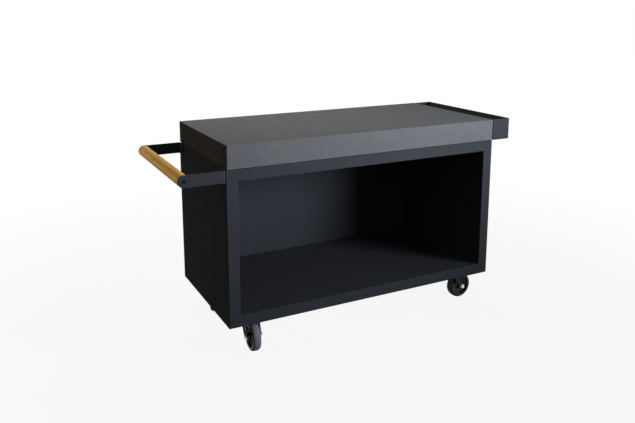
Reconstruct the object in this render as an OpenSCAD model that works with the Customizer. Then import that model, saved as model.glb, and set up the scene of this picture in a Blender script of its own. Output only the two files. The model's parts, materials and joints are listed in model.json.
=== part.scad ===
// Outdoor prep table on casters: a double-skinned sheet steel cabinet with an open storage bay,
// a mitred ceramic worktop, a planter tray on the right end and a push handle on the left end.
// Axes: +X to the right, +Y to the back, +Z up. The ground is Z = 0, and X = Y = 0 is the
// middle of the whole outline in plan. Lengths are in millimetres.

/* [Cabinet] */
// Width of the steel cabinet, left to right
cab_w = 1350; // [1000:10:1800]
// Depth of the steel cabinet, front to back
cab_d = 640; // [480:10:800]
// Height of the steel cabinet alone
cab_h = 670; // [450:10:850]
// Thickness of the double-skinned walls, which is also the width of the face frame
wall = 50; // [42:1:70]
// Thickness of the sheet steel
sheet = 1.5; // [1:0.5:2.5]
// Inside radius of the folds
bend_r = 1.5; // [1:0.5:3]
// Width of the folded flanges behind the back panel
flange = 18; // [14:1:20]

/* [Back panel] */
// How far the back panel stays inside the outline of the cabinet
back_reveal = 1; // [0.5:0.5:4]
// Largest distance between the rivets of the back panel
rivet_pitch = 220; // [120:10:320]
// Diameter of the rivets
rivet_d = 4.8; // [4:0.2:6.4]
// Diameter of the rivet heads
rivet_head_d = 9.5; // [8:0.5:12]

/* [Worktop] */
// Height of the worktop block
top_h = 97; // [70:1:130]
// Thickness of the ceramic panels
top_t = 12; // [8:1:20]
// Shadow gap between the cabinet and the worktop
top_gap = 3; // [2:0.5:6]
// How far each end of the worktop stays inside the cabinet
top_inset = 4; // [0:1:12]
// How far the worktop stands out at the front and at the back
top_overhang = 4; // [0:1:20]
// Width of the eased edge along each mitre
arris = 1; // [0.5:0.1:2]
// Width of the flanges of the worktop rails
rail_w = 30; // [20:1:45]
// Thickness of the sheet of the worktop rails
rail_t = 2; // [1.5:0.5:3]
// Space between the ceramic aprons and the rails
rail_gap = 3; // [1:0.5:8]
// Number of cross rails
cross_count = 4; // [2:1:6]
// Thickness of the rubber pads under the rails
pad_t = 5; // [4:1:10]
// Length of the rubber pads
pad_l = 60; // [30:5:100]

/* [Planter tray] */
// Width of the planter tray
tray_w = 97; // [70:1:140]
// Space between the side of the cabinet and the tray
tray_gap = 3; // [2:1:8]
// Length of the fixing tabs that reach in under the worktop
tab_l = 62; // [56:1:90]
// Width of the fixing tabs
tab_w = 90; // [60:5:140]
// Distance from the ends of the tray to the middle of each tab
tab_inset = 110; // [80:5:180]
// Distance between the two screws of a tab
tab_pitch = 50; // [30:5:60]
// Diameter of the tab screws
tab_screw_d = 6; // [5:1:6]

/* [Handle] */
// Reach of the handle from the side of the cabinet
arm_reach = 194; // [150:1:260]
// Height of the flat bar of the handle arms
arm_h = 50; // [40:1:60]
// Thickness of the flat bar of the handle arms
arm_t = 5; // [4:0.5:8]
// Inside radius of the bend between arm and foot
arm_bend = 3; // [2:0.5:6]
// Length of the foot of each arm along the side of the cabinet
foot_l = 64; // [58:1:100]
// Distance between the two screws of a foot
foot_pitch = 26; // [22:1:32]
// Diameter of the round wooden bar
bar_d = 50; // [36:1:50]
// Diameter of the screws of the handle
handle_screw_d = 8; // [6:1:8]
// Length of the screws into the wooden bar
bar_screw_l = 35; // [25:1:60]

/* [Casters] */
// Height of the casters, from the ground to the underside of the cabinet
caster_h = 148; // [146:1:170]
// Diameter of the wheels
wheel_d = 125; // [110:1:126]
// Width of the tyres
tyre_w = 36; // [28:1:42]
// Thickness of the rubber at the middle of the tread
tyre_t = 12.5; // [8:0.5:16]
// Radius of the crown across the tread
tread_crown_r = 60; // [40:5:100]
// Radius of the shoulders of the tyre
shoulder_r = 9; // [4:0.5:10]
// Distance from the swivel axis back to the axle
trail = 38; // [32:1:44]
// Distance from the cabinet's ends to the swivel axes
caster_x = 127; // [100:1:200]
// Distance from the cabinet's front and back to the swivel axes
caster_y = 100; // [90:1:160]
// Length of the caster plates along the cabinet
plate_w = 105; // [100:1:120]
// Width of the caster plates
plate_d = 85; // [80:1:100]
// Thickness of the caster plates
plate_t = 3; // [2.5:0.5:4]
// Distance between the caster bolts along the cabinet
bolt_x = 80; // [76:1:84]
// Distance between the caster bolts across the cabinet
bolt_y = 60; // [56:1:64]
// Diameter of the caster bolts
bolt_d = 8; // [6:1:8]
// Width of the stiffening channels over the casters
channel_w = 120; // [112:1:150]
// Thickness of the stiffening channels
channel_t = 3; // [2:0.5:4]

/* [Swivel head and fork] */
// Diameter of the swivel head
crown_d = 76; // [72:1:80]
// Thickness of the pressed steel of the fork
fork_t = 3; // [2.5:0.5:4]
// Diameter of the circle of balls
race_d = 48; // [44:1:52]
// Diameter of the balls
ball_d = 6; // [5:0.5:7]
// Number of balls in each swivel head
ball_count = 16; // [10:1:20]
// Diameter of the kingpin
kingpin_d = 12; // [10:1:14]
// Length of the wheel hubs
hub_l = 53.4; // [48:0.2:56]
// Diameter of the axles
axle_d = 10; // [8:1:12]
// Radius of the bend between the head of the fork and its legs
fork_bend_r = 6; // [4:0.5:8]
// Radius of the fork legs round the axle
leg_r = 15; // [14:0.5:18]
// Height of the stiffening edges of the fork legs
leg_rim = 4; // [3:0.5:6]

/* [Brakes of the rear casters] */
// Distance from the swivel axis back to the pedal's pin
pedal_x = 92; // [90:1:96]
// Depth of the pedal's pin below the cabinet
pedal_z = 28; // [26:1:30]
// Length of the pedal beyond its pin
pedal_l = 46; // [36:1:56]
// Travel of the pedal in degrees
pedal_travel = 18; // [12:1:22]
// Upward slope of the released pedal in degrees
pedal_slope = 12; // [8:1:16]
// Diameter of the pedal's pin
pedal_pin_d = 6; // [5:0.5:7]

/* [Headings of the casters] */
// Turn of the front left caster in degrees, 0 trails to the left
heading_front_left = 88; // [0:1:359]
// Turn of the front right caster
heading_front_right = 182; // [0:1:359]
// Turn of the rear left caster
heading_rear_left = 62; // [0:1:359]
// Turn of the rear right caster
heading_rear_right = 174; // [0:1:359]

/* [Clearances] */
// Radial clearance of turning and bolted fits
fit = 0.05; // [0.02:0.01:0.1]
// Clearance between faces that pass each other
gap = 0.3; // [0.2:0.05:0.4]

/* [Hidden] */
$fn = 64;

// Colours of the finishes
black_steel = [0.20, 0.21, 0.23];
dark_ceramic = [0.38, 0.38, 0.38];
golden_wood = [0.73, 0.50, 0.24];
black_rubber = [0.07, 0.07, 0.075];
black_plastic = [0.10, 0.10, 0.11];
zinc = [0.74, 0.74, 0.76];
black_screw = [0.05, 0.05, 0.055];
brass = [0.78, 0.62, 0.32];

// Cuts reach this far past the faces that they open
cut = 1;

// The cabinet's lower front left corner, from the middle of the whole outline
total_w = arm_reach + cab_w + tray_gap + tray_w;
cab_corner = [arm_reach - total_w / 2, -cab_d / 2, caster_h];
fold_r = bend_r + sheet;

// Worktop block, from its own lower front left corner
top_w = cab_w - 2 * top_inset;
top_d = cab_d + 2 * top_overhang;
top_corner = [top_inset, -top_overhang, cab_h + top_gap];
rail_h = top_gap + top_h - top_t - pad_t;
rail_corner = top_t + rail_gap;
rail_l = top_w - 2 * rail_corner;
cross_l = top_d - 2 * (rail_corner + rail_w);
pads_per_rail = 3;
pad_edge = 3;

// Handle
arm_end_r = arm_h / 2;
bar_x = arm_end_r - arm_reach;
handle_z = cab_h - arm_end_r;
arm_corner_r = arm_t + arm_bend;
foot_edge = (foot_l - arm_corner_r - foot_pitch) / 2;
bar_ease = 1.5;
insert_wall = 2;
insert_room = 4;
insert_d = handle_screw_d + 2 * insert_wall;
insert_l = bar_screw_l - arm_t - insert_room;
foot_screw_l = 21;
socket_depth = 3;

// Rivets, rivet nuts and tray screws
rivet_head_h = 1.6;
rivet_swell = 1;
rivet_tail_h = 4;
nut_wall = 1.5;
nut_collar = 1.5;
nut_collar_h = 3;
foot_nut_l = 14;
tab_nut_l = 10;
tab_screw_l = 12;

// Caster bolts, plates and stiffening channels
bolt_head_h = 5.3;
bolt_nut_h = 6.5;
bolt_end = 2.5;
bolt_af = 1.625 * bolt_d;
plate_corner_r = 8;
slot_l = 4;
channel_lip = 20;

// Places along the depth of the swivel head, measured down from the cabinet
boss_t = 4;
race_space = 4;
crown_top = plate_t + boss_t + race_space;
crown_t = 4;
crown_low = crown_top + crown_t;
ball_z = plate_t + boss_t + race_space / 2;
lip_t = 2.5;
lip_gap = 1.5;
head_edge = 1;
shoulder_corner_r = 4;
boss_inset = 5;
boss_r = crown_d / 2 - lip_t - boss_inset;
ball_play = 0.15;
race_groove_r = ball_d / 2 + ball_play;
kingpin_r = kingpin_d / 2;
kingpin_head_h = 3;
kingpin_end = 1;
washer_t = 2.5;
washer_rim = 9;
king_nut_h = 7;

// Wheel and axle
wheel_r = wheel_d / 2;
axle_z = caster_h - wheel_r;
axle_r = axle_d / 2;
sleeve_t = 2;
sleeve_r = axle_r + sleeve_t;
leg_in = hub_l / 2 + gap;
leg_out = leg_in + fork_t;
axle_washer_t = 2;
axle_washer_r = axle_d;
axle_nut_af = 1.7 * axle_d;
axle_head_h = 0.64 * axle_d;
axle_nut_h = 0.8 * axle_d;
axle_end = 2;

// Brake: the shoe's tip touches the tread line, less the gap, when the pedal is down
pedal_pivot = [-pedal_x, -pedal_z];
axle_point = [-trail, -axle_z];
brake_reach = norm(pedal_pivot - axle_point);
shoe_r = brake_reach - wheel_r - gap;
shoe_angle = atan2(axle_point.y - pedal_pivot.y, axle_point.x - pedal_pivot.x);
pedal_pin_r = pedal_pin_d / 2;
pedal_ear_r = 9;
pedal_hub_wall = 4;
pedal_hub_r = pedal_pin_r + pedal_hub_wall;
pedal_t = 4;
pedal_edge = 1;
pedal_rib = 2;
pedal_rib_edge = 4;
shoe_half_w = 14;
shoe_inset = 1.5;
pin_head_rim = 1.5;
pin_head_h = 1.6;

FRONT_LEFT = 0;
FRONT_RIGHT = 1;
REAR_LEFT = 2;
REAR_RIGHT = 3;
CASTERS = [FRONT_LEFT, FRONT_RIGHT, REAR_LEFT, REAR_RIGHT];
headings = [heading_front_left, heading_front_right, heading_rear_left, heading_rear_right];

function caster_point(i) = [
    (i % 2 == 0) ? caster_x : cab_w - caster_x,
    (i < 2) ? caster_y : cab_d - caster_y,
    0
];

// Rivets stand along the middle of the outer flange, between the corners
rivet_edge = flange / 2 + sheet;
function steps(length) = ceil((length - 2 * wall) / rivet_pitch);
function spread(length) = [
    for (i = [0 : steps(length)]) wall + i * (length - 2 * wall) / steps(length)
];
rivet_points = concat(
    [for (x = spread(cab_w), z = [rivet_edge, cab_h - rivet_edge]) [x, z]],
    [for (z = spread(cab_h), x = [rivet_edge, cab_w - rivet_edge]) [x, z]]
);

// Tray tab screws, seen from above in the cabinet's frame
tab_screw_edge = 14;
tab_screw_points = [
    for (y = [tab_inset, cab_d - tab_inset], s = [-1, 1])
        [cab_w + tray_gap - tab_l + tab_screw_edge, y + s * tab_pitch / 2]
];

// Foot screws of the handle, along the depth of the cabinet
foot_screw_y = [for (k = [0, 1]) arm_corner_r + foot_edge + k * foot_pitch];
foot_screw_points = concat(foot_screw_y, [for (y = foot_screw_y) cab_d - y]);

// Point where the line from p touches the circle of radius r at c, on the chosen side
function touch(p, c, r, side) =
    let (a = atan2(p.y - c.y, p.x - c.x) + side * acos(r / norm(p - c)))
    c + r * [cos(a), sin(a)];

module in_cabinet() translate(cab_corner) children();

module in_worktop() in_cabinet() translate(top_corner) children();

// Local frame of one caster: Z = 0 is the underside of the cabinet, and the wheel trails to -X
module at_caster(i)
    in_cabinet() translate(caster_point(i)) rotate([0, 0, headings[i]]) children();

module rounded_square(w, h, r) {
    translate([r, 0]) square([w - 2 * r, h]);
    translate([0, r]) square([w, h - 2 * r]);
    for (x = [r, w - r], y = [r, h - r]) translate([x, y]) circle(r);
}

// Section of a folded channel with its web at x = w and its mouth at x = 0
module channel_section(w, h, t, r) {
    intersection() {
        difference() {
            translate([-w, 0]) rounded_square(2 * w, h, r + t);
            translate([t - w, t]) rounded_square(2 * (w - t), h - 2 * t, r);
        }
        square([w, h]);
    }
}

// Spreads a section in YZ along +X
module along_x(length) rotate([90, 0, 90]) linear_extrude(length) children();

// Spreads a section in XZ along +Y
module along_y(length)
    translate([0, length, 0]) rotate([90, 0, 0]) linear_extrude(length) children();

// A low round head with its flat side on Z = 0
module dome(r, h) {
    ball = (r * r + h * h) / (2 * h);
    rotate_extrude() intersection() {
        translate([0, h - ball]) circle(ball);
        square([r, h]);
    }
}

module hexagon(across_flats, h) cylinder(d = across_flats / cos(30), h = h, $fn = 6);

// A hexagon nut with its plain bore
module nut(across_flats, h, bore_r) {
    difference() {
        hexagon(across_flats, h);
        translate([0, 0, -cut]) cylinder(r = bore_r, h = h + 2 * cut);
    }
}

// One wall of the cabinet: an outer skin, a front face and an inner skin folded from one sheet,
// with two flanges at the back. It lies with its outer skin on Z = 0 and has mitred ends.
module double_skin(length) {
    depth = cab_d - sheet;
    intersection() {
        along_x(length) difference() {
            rounded_square(depth, wall, fold_r);
            translate([sheet, sheet]) rounded_square(depth - 2 * sheet, wall - 2 * sheet, bend_r);
            translate([depth - sheet - cut, flange]) square([sheet + 2 * cut, wall - 2 * flange]);
        }
        along_y(cab_d) polygon([[0, 0], [length, 0], [length - wall, wall], [wall, wall]]);
    }
}

module rivet_holes() {
    for (p = rivet_points)
        translate([p.x, cab_d + cut, p.y]) rotate([90, 0, 0])
            cylinder(d = rivet_d + 2 * fit, h = 2 * sheet + 2 * cut);
}

module foot_screw_holes(r) {
    for (y = foot_screw_points)
        translate([-cut, y, handle_z]) rotate([0, 90, 0]) cylinder(r = r, h = sheet + 2 * cut);
}

rivet_nut_r = handle_screw_d / 2 + nut_wall;
tab_nut_r = tab_screw_d / 2 + nut_wall;

module left_side() color(black_steel) in_cabinet() difference() {
    mirror([1, 0, -1]) double_skin(cab_h);
    rivet_holes();
    foot_screw_holes(rivet_nut_r + fit);
}

module right_side() color(black_steel) in_cabinet() difference() {
    translate([cab_w, 0, 0]) mirror([1, 0, 0]) mirror([1, 0, -1]) double_skin(cab_h);
    rivet_holes();
}

module base() color(black_steel) in_cabinet() difference() {
    double_skin(cab_w);
    rivet_holes();
    for (i = CASTERS) translate(caster_point(i)) bolt_circle()
        translate([0, 0, -cut]) cylinder(d = bolt_d + 2 * fit, h = sheet + 2 * cut);
}

module top_deck() color(black_steel) in_cabinet() difference() {
    translate([0, 0, cab_h]) mirror([0, 0, 1]) double_skin(cab_w);
    rivet_holes();
    for (p = tab_screw_points) translate([p.x, p.y, cab_h - sheet - cut])
        cylinder(r = tab_nut_r + fit, h = sheet + 2 * cut);
}

module back_panel() color(black_steel) in_cabinet() difference() {
    translate([back_reveal, cab_d - sheet, back_reveal])
        cube([cab_w - 2 * back_reveal, sheet, cab_h - 2 * back_reveal]);
    rivet_holes();
}

// Blind rivets: domed head outside, swelled end behind the flange
module back_panel_rivets() color(black_steel) in_cabinet() {
    for (p = rivet_points) translate([p.x, cab_d, p.y]) rotate([-90, 0, 0]) {
        dome(rivet_head_d / 2, rivet_head_h);
        translate([0, 0, -2 * sheet]) cylinder(d = rivet_d, h = 2 * sheet);
        translate([0, 0, -2 * sheet - rivet_tail_h])
            cylinder(r = rivet_d / 2 + rivet_swell, h = rivet_tail_h);
    }
}

// The four bolt places of a caster, which keep square with the cabinet
module bolt_circle()
    for (x = [-1, 1] * bolt_x / 2, y = [-1, 1] * bolt_y / 2) translate([x, y, 0]) children();

// Stiffening channel inside the base: it carries the floor and spreads the load of two casters
module caster_channel(x) color(black_steel) in_cabinet() {
    inner_h = wall - 2 * sheet;
    end = sheet + bend_r;
    difference() {
        translate([x - channel_w / 2, end, sheet])
            along_y(cab_d - sheet - 2 * end) difference() {
                rounded_square(channel_w, inner_h, bend_r + channel_t);
                translate([channel_t, channel_t])
                    rounded_square(channel_w - 2 * channel_t, inner_h - 2 * channel_t, bend_r);
                translate([channel_lip, inner_h - channel_t - cut])
                    square([channel_w - 2 * channel_lip, channel_t + 2 * cut]);
            }
        for (y = [caster_y, cab_d - caster_y]) translate([x, y, 0]) bolt_circle()
            cylinder(d = bolt_d + 2 * fit, h = sheet + channel_t + cut);
    }
}

module left_caster_channel() caster_channel(caster_x);

module right_caster_channel() caster_channel(cab_w - caster_x);

// Ceramic top: its edges are mitred to the aprons on the underside
module mitred_edge(length) {
    polygon([
        [arris, top_h], [arris / 2, top_h - arris / 2], [top_t, top_h - top_t],
        [length - top_t, top_h - top_t], [length - arris / 2, top_h - arris / 2],
        [length - arris, top_h]
    ]);
}

module worktop_panel() color(dark_ceramic) in_worktop() intersection() {
    along_y(top_d) mitred_edge(top_w);
    along_x(top_w) mitred_edge(top_d);
}

// One ceramic apron along +X with its outer face on Y = 0, mitred to the top and at both ends
module apron(length) {
    intersection() {
        along_x(length) polygon([
            [0, 0], [top_t, 0], [top_t, top_h - top_t],
            [arris / 2, top_h - arris / 2], [0, top_h - arris]
        ]);
        linear_extrude(top_h) polygon([
            [arris, 0], [arris / 2, arris / 2], [top_t, top_t], [length - top_t, top_t],
            [length - arris / 2, arris / 2], [length - arris, 0]
        ]);
    }
}

module worktop_front_apron() color(dark_ceramic) in_worktop() apron(top_w);

module worktop_rear_apron() color(dark_ceramic) in_worktop()
    translate([0, top_d, 0]) mirror([0, 1, 0]) apron(top_w);

module worktop_left_apron() color(dark_ceramic) in_worktop() mirror([1, -1, 0]) apron(top_d);

module worktop_right_apron() color(dark_ceramic) in_worktop()
    translate([top_w, 0, 0]) mirror([1, 0, 0]) mirror([1, -1, 0]) apron(top_d);

// Folded channels under the ceramic, their webs towards the cross rails
module worktop_long_rails() color(black_steel) in_worktop() {
    for (back = [0, 1])
        translate([rail_corner, back * top_d, pad_t - top_gap]) mirror([0, back, 0])
            translate([0, rail_corner, 0]) along_x(rail_l)
                channel_section(rail_w, rail_h, rail_t, bend_r);
}

module worktop_cross_rails() color(black_steel) in_worktop() {
    for (i = [1 : cross_count])
        translate([
            rail_corner + i * rail_l / (cross_count + 1) - rail_w / 2,
            rail_corner + rail_w, pad_t - top_gap
        ]) along_y(cross_l) channel_section(rail_w, rail_h, rail_t, bend_r);
}

module worktop_pads() color(black_rubber) in_worktop() {
    for (back = [0, 1], i = [0 : pads_per_rail - 1])
        translate([
            rail_corner + pad_edge + i * (rail_l - 2 * pad_edge - pad_l) / (pads_per_rail - 1),
            back * top_d, -top_gap
        ]) mirror([0, back, 0]) translate([0, rail_corner + pad_edge, 0])
            cube([pad_l, rail_w - 2 * pad_edge - fold_r, pad_t]);
}

// Trough of folded sheet, as high as the worktop and its shadow gap. Its bottom sheet reaches
// in under the worktop as two tabs.
module planter_tray() color(black_steel) in_cabinet() translate([cab_w + tray_gap, 0, cab_h]) {
    tray_h = top_gap + top_h;
    difference() {
        union() {
            along_y(cab_d) trough_section(tray_w, tray_h, fold_r);
            for (y = [tab_inset, cab_d - tab_inset])
                translate([-tab_l, y - tab_w / 2, 0]) cube([tab_l + fold_r, tab_w, sheet]);
        }
        translate([sheet, sheet, sheet]) along_y(cab_d - 2 * sheet)
            trough_section(tray_w - 2 * sheet, tray_h, bend_r);
        for (p = tab_screw_points) translate([p.x - cab_w - tray_gap, p.y, -cut])
            cylinder(d = tab_screw_d + 2 * fit, h = sheet + 2 * cut);
    }
}

// Square with two rounded lower corners
module trough_section(w, h, r) {
    translate([0, r]) square([w, h - r]);
    translate([r, 0]) square([w - 2 * r, h]);
    for (x = [r, w - r]) translate([x, r]) circle(r);
}

// Low-head screws down through the tabs
module planter_tray_screws() color(black_screw) in_cabinet() {
    for (p = tab_screw_points) translate([p.x, p.y, cab_h + sheet]) difference() {
        union() {
            dome(tab_screw_d * 0.9, tab_screw_d * 0.5);
            translate([0, 0, -tab_screw_l]) cylinder(d = tab_screw_d, h = tab_screw_l);
        }
        translate([0, 0, tab_screw_d * 0.2]) hexagon(tab_screw_d * 0.6, tab_screw_d);
    }
}

// Handle arm: a flat bar with a round end, bent square into a foot on the side of the cabinet
module handle_arm() {
    z = cab_h - arm_h;
    difference() {
        union() {
            translate([0, 0, handle_z]) along_y(arm_t) {
                translate([bar_x, 0]) circle(arm_end_r);
                translate([bar_x, -arm_end_r]) square([-bar_x - arm_corner_r, arm_h]);
            }
            translate([-arm_corner_r, arm_corner_r, z]) rotate([0, 0, -90])
                rotate_extrude(angle = 90) translate([arm_bend, 0]) square([arm_t, arm_h]);
            translate([-arm_t, arm_corner_r, z]) cube([arm_t, foot_l - arm_corner_r, arm_h]);
        }
        translate([bar_x, -cut, handle_z]) rotate([-90, 0, 0])
            cylinder(d = handle_screw_d + 2 * fit, h = arm_t + 2 * cut);
        translate([bar_x, 0, handle_z]) rotate([-90, 0, 0]) countersink(fit);
        for (y = foot_screw_y) translate([-arm_t - cut, y, handle_z]) rotate([0, 90, 0])
            cylinder(d = handle_screw_d + 2 * fit, h = arm_t + 2 * cut);
    }
}

// Cone of a flat-headed screw, wide end on Z = 0
module countersink(extra) {
    r = handle_screw_d / 2;
    translate([0, 0, -extra]) cylinder(r1 = 1.95 * r + extra, r2 = r, h = 0.95 * r + extra);
}

module handle_front_arm() color(black_steel) in_cabinet() handle_arm();

module handle_rear_arm() color(black_steel) in_cabinet()
    translate([0, cab_d, 0]) mirror([0, 1, 0]) handle_arm();

module both_bar_ends() {
    for (back = [0, 1]) translate([bar_x, back * cab_d, handle_z])
        mirror([0, back, 0]) rotate([-90, 0, 0]) children();
}

module handle_bar() color(golden_wood) in_cabinet() {
    bar_r = bar_d / 2;
    length = cab_d - 2 * arm_t;
    difference() {
        translate([bar_x, arm_t, handle_z]) rotate([-90, 0, 0]) rotate_extrude() polygon([
            [0, 0], [bar_r - bar_ease, 0], [bar_r, bar_ease], [bar_r, length - bar_ease],
            [bar_r - bar_ease, length], [0, length]
        ]);
        both_bar_ends() translate([0, 0, arm_t - cut])
            cylinder(d = insert_d, h = cut + bar_screw_l - arm_t + insert_room);
    }
}

// Threaded inserts in the ends of the bar
module handle_bar_inserts() color(brass) in_cabinet() {
    both_bar_ends() translate([0, 0, arm_t + gap]) difference() {
        cylinder(d = insert_d - 2 * fit, h = insert_l);
        translate([0, 0, -cut]) cylinder(d = handle_screw_d + 2 * fit, h = insert_l + 2 * cut);
    }
}

module handle_bar_screws() color(black_screw) in_cabinet() {
    both_bar_ends() difference() {
        union() {
            countersink(0);
            cylinder(d = handle_screw_d, h = bar_screw_l);
        }
        translate([0, 0, -cut]) hexagon(handle_screw_d * 0.62, socket_depth + cut);
    }
}

// Low-head screws through the feet
module handle_foot_screws() color(black_screw) in_cabinet() {
    for (y = foot_screw_points) translate([-arm_t, y, handle_z]) rotate([0, -90, 0]) difference() {
        union() {
            dome(handle_screw_d * 0.875, handle_screw_d * 0.55);
            translate([0, 0, -foot_screw_l]) cylinder(d = handle_screw_d, h = foot_screw_l);
        }
        translate([0, 0, handle_screw_d * 0.2]) hexagon(handle_screw_d * 0.6, handle_screw_d);
    }
}

// Rivet nuts behind the side skin for the handle, and under the deck for the tray
module rivet_nuts() color(zinc) in_cabinet() {
    for (y = foot_screw_points) translate([0, y, handle_z]) rotate([0, 90, 0])
        rivet_nut(rivet_nut_r, handle_screw_d / 2 + fit, foot_nut_l);
    for (p = tab_screw_points) translate([p.x, p.y, cab_h]) mirror([0, 0, 1])
        rivet_nut(tab_nut_r, tab_screw_d / 2 + fit, tab_nut_l);
}

// Body flush with the outer face, with a swelled collar behind the sheet
module rivet_nut(r, bore_r, length) {
    difference() {
        union() {
            cylinder(r = r, h = length);
            translate([0, 0, sheet]) cylinder(r = r + nut_collar, h = nut_collar_h);
        }
        translate([0, 0, -cut]) cylinder(r = bore_r, h = length + 2 * cut);
    }
}

// Hexagon bolts up through the caster plates, the base and the channels
module caster_bolts() color(zinc) in_cabinet() {
    grip = plate_t + sheet + channel_t;
    for (i = CASTERS) translate(caster_point(i)) bolt_circle() {
        translate([0, 0, -plate_t - bolt_head_h]) hexagon(bolt_af, bolt_head_h);
        translate([0, 0, -plate_t]) cylinder(d = bolt_d, h = grip + bolt_nut_h + bolt_end);
    }
}

module caster_weld_nuts() color(zinc) in_cabinet() {
    for (i = CASTERS) translate(caster_point(i)) bolt_circle()
        translate([0, 0, sheet + channel_t]) nut(bolt_af, bolt_nut_h, bolt_d / 2 + fit);
}

// Mounting plate with slotted holes, square with the cabinet whatever the fork's heading
module caster_plate(i) color(black_steel) in_cabinet() translate(caster_point(i)) {
    difference() {
        union() {
            translate([-plate_w / 2, -plate_d / 2, -plate_t]) linear_extrude(plate_t)
                rounded_square(plate_w, plate_d, plate_corner_r);
            translate([0, 0, -plate_t - boss_t]) cylinder(r = boss_r, h = boss_t);
        }
        bolt_circle() translate([0, 0, -plate_t - cut]) linear_extrude(plate_t + 2 * cut) {
            square([slot_l, bolt_d + 2 * fit], center = true);
            for (x = [-1, 1] * slot_l / 2) translate([x, 0]) circle(d = bolt_d + 2 * fit);
        }
        ball_groove();
        translate([0, 0, -plate_t - boss_t - cut])
            cylinder(r = kingpin_r + fit, h = plate_t + boss_t + 2 * cut);
        translate([0, 0, -kingpin_head_h])
            cylinder(r1 = kingpin_r + fit, r2 = kingpin_r + fit + kingpin_head_h, h = kingpin_head_h);
        translate([0, 0, -fit]) cylinder(r = kingpin_r + fit + kingpin_head_h, h = cut);
    }
}

module ball_groove()
    rotate_extrude() translate([race_d / 2, -ball_z]) circle(race_groove_r);

module swivel_balls() color(zinc) in_cabinet() {
    for (i = CASTERS, k = [0 : ball_count - 1]) translate(caster_point(i))
        rotate([0, 0, k * 360 / ball_count]) translate([race_d / 2, 0, -ball_z]) sphere(d = ball_d);
}

// Kingpin flush with the plate, with the lower race washer and nut under the fork
module swivel_kingpins() color(zinc) in_cabinet() {
    washer_top = crown_low + gap;
    nut_low = washer_top + washer_t + king_nut_h;
    for (i = CASTERS) translate(caster_point(i)) {
        translate([0, 0, -nut_low - kingpin_end])
            cylinder(r = kingpin_r, h = nut_low + kingpin_end - kingpin_head_h);
        translate([0, 0, -kingpin_head_h])
            cylinder(r1 = kingpin_r, r2 = kingpin_r + kingpin_head_h, h = kingpin_head_h);
        translate([0, 0, -washer_top - washer_t]) difference() {
            cylinder(r = kingpin_r + washer_rim, h = washer_t);
            translate([0, 0, -cut]) cylinder(r = kingpin_r + fit, h = washer_t + 2 * cut);
        }
        translate([0, 0, -nut_low]) nut(1.5 * kingpin_d, king_nut_h, kingpin_r + fit);
    }
}

// Side view of a fork leg: tangent lines from the swivel head down to the round axle end
leg_root = 1;
leg_back = [-30, leg_root - crown_low];
leg_front = [25, leg_root - crown_low];
leg_back_touch = touch(leg_back, axle_point, leg_r, 1);
leg_front_touch = touch(leg_front, axle_point, leg_r, -1);

// Where the arm that carries the pedal leaves the leg, back from the swivel axis and down from
// the underside of the head
ear_top = [14, 4];
ear_low = [34, 30];

module leg_outline() {
    polygon([leg_back, leg_back_touch, axle_point, leg_front_touch, leg_front]);
    translate(axle_point) circle(leg_r);
}

// Arm of the leg that carries the pedal's pin, past the tyre
module pedal_ear_outline() {
    upper = [-ear_top.x, -crown_low - ear_top.y];
    lower = [-ear_low.x, -crown_low - ear_low.y];
    upper_touch = touch(upper, pedal_pivot, pedal_ear_r, 1);
    lower_touch = touch(lower, pedal_pivot, pedal_ear_r, -1);
    polygon([upper, upper_touch, pedal_pivot, lower_touch, lower]);
    translate(pedal_pivot) circle(pedal_ear_r);
}

// Stiffening rim along a leg's edge, from p down towards q, on the leg's side of that line
module edge_rim(p, q, side) {
    d = q - p;
    translate(p) rotate(atan2(d.y, d.x)) translate([0, side > 0 ? 0 : -fork_t])
        square([norm(d) - fork_t, fork_t]);
}

module fork_leg(braked) {
    translate([0, leg_in, 0]) along_y(fork_t) {
        leg_outline();
        if (braked) pedal_ear_outline();
    }
    translate([0, leg_in, 0]) along_y(fork_t + leg_rim) {
        edge_rim(leg_back, leg_back_touch, 1);
        edge_rim(leg_front, leg_front_touch, -1);
    }
}

// Shoulders of the fork: square in plan over the legs, and bent down to them along both sides
module fork_shoulders() {
    half_w = leg_out + leg_rim + head_edge;
    length = leg_front.x - leg_back.x + 2 * head_edge;
    translate([leg_back.x - head_edge, 0, 0]) intersection() {
        linear_extrude(crown_t) translate([0, -half_w])
            rounded_square(length, 2 * half_w, shoulder_corner_r);
        translate([-cut, 0, 0]) along_x(length + 2 * cut)
            translate([-half_w, crown_t - 3 * fork_bend_r])
                rounded_square(2 * half_w, 3 * fork_bend_r, fork_bend_r);
    }
}

// Fork: a pressed swivel head with a dust lip, and two legs
module fork(i, braked) color(black_steel) at_caster(i) {
    lip_r = crown_d / 2 - head_edge;
    lip_h = crown_top - plate_t - lip_gap + head_edge;
    difference() {
        union() {
            translate([0, 0, -crown_low]) cylinder(d = crown_d, h = crown_t);
            translate([0, 0, -crown_low]) fork_shoulders();
            translate([0, 0, -crown_top - head_edge]) rotate_extrude()
                translate([lip_r - lip_t, 0]) square([lip_t, lip_h]);
            fork_leg(braked);
            mirror([0, 1, 0]) fork_leg(braked);
        }
        translate([0, 0, -crown_low - cut]) cylinder(r = kingpin_r + fit, h = crown_t + 2 * cut);
        ball_groove();
        through_fork(axle_point) cylinder(r = axle_r + fit, h = 2 * (leg_out + cut), center = true);
        if (braked) through_fork(pedal_pivot)
            cylinder(r = pedal_pin_r + fit, h = 2 * (leg_out + cut), center = true);
    }
}

// Puts a piece that is turned about Z on the line across the fork through point p
module through_fork(p) translate([p.x, 0, p.y]) rotate([-90, 0, 0]) children();

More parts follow.
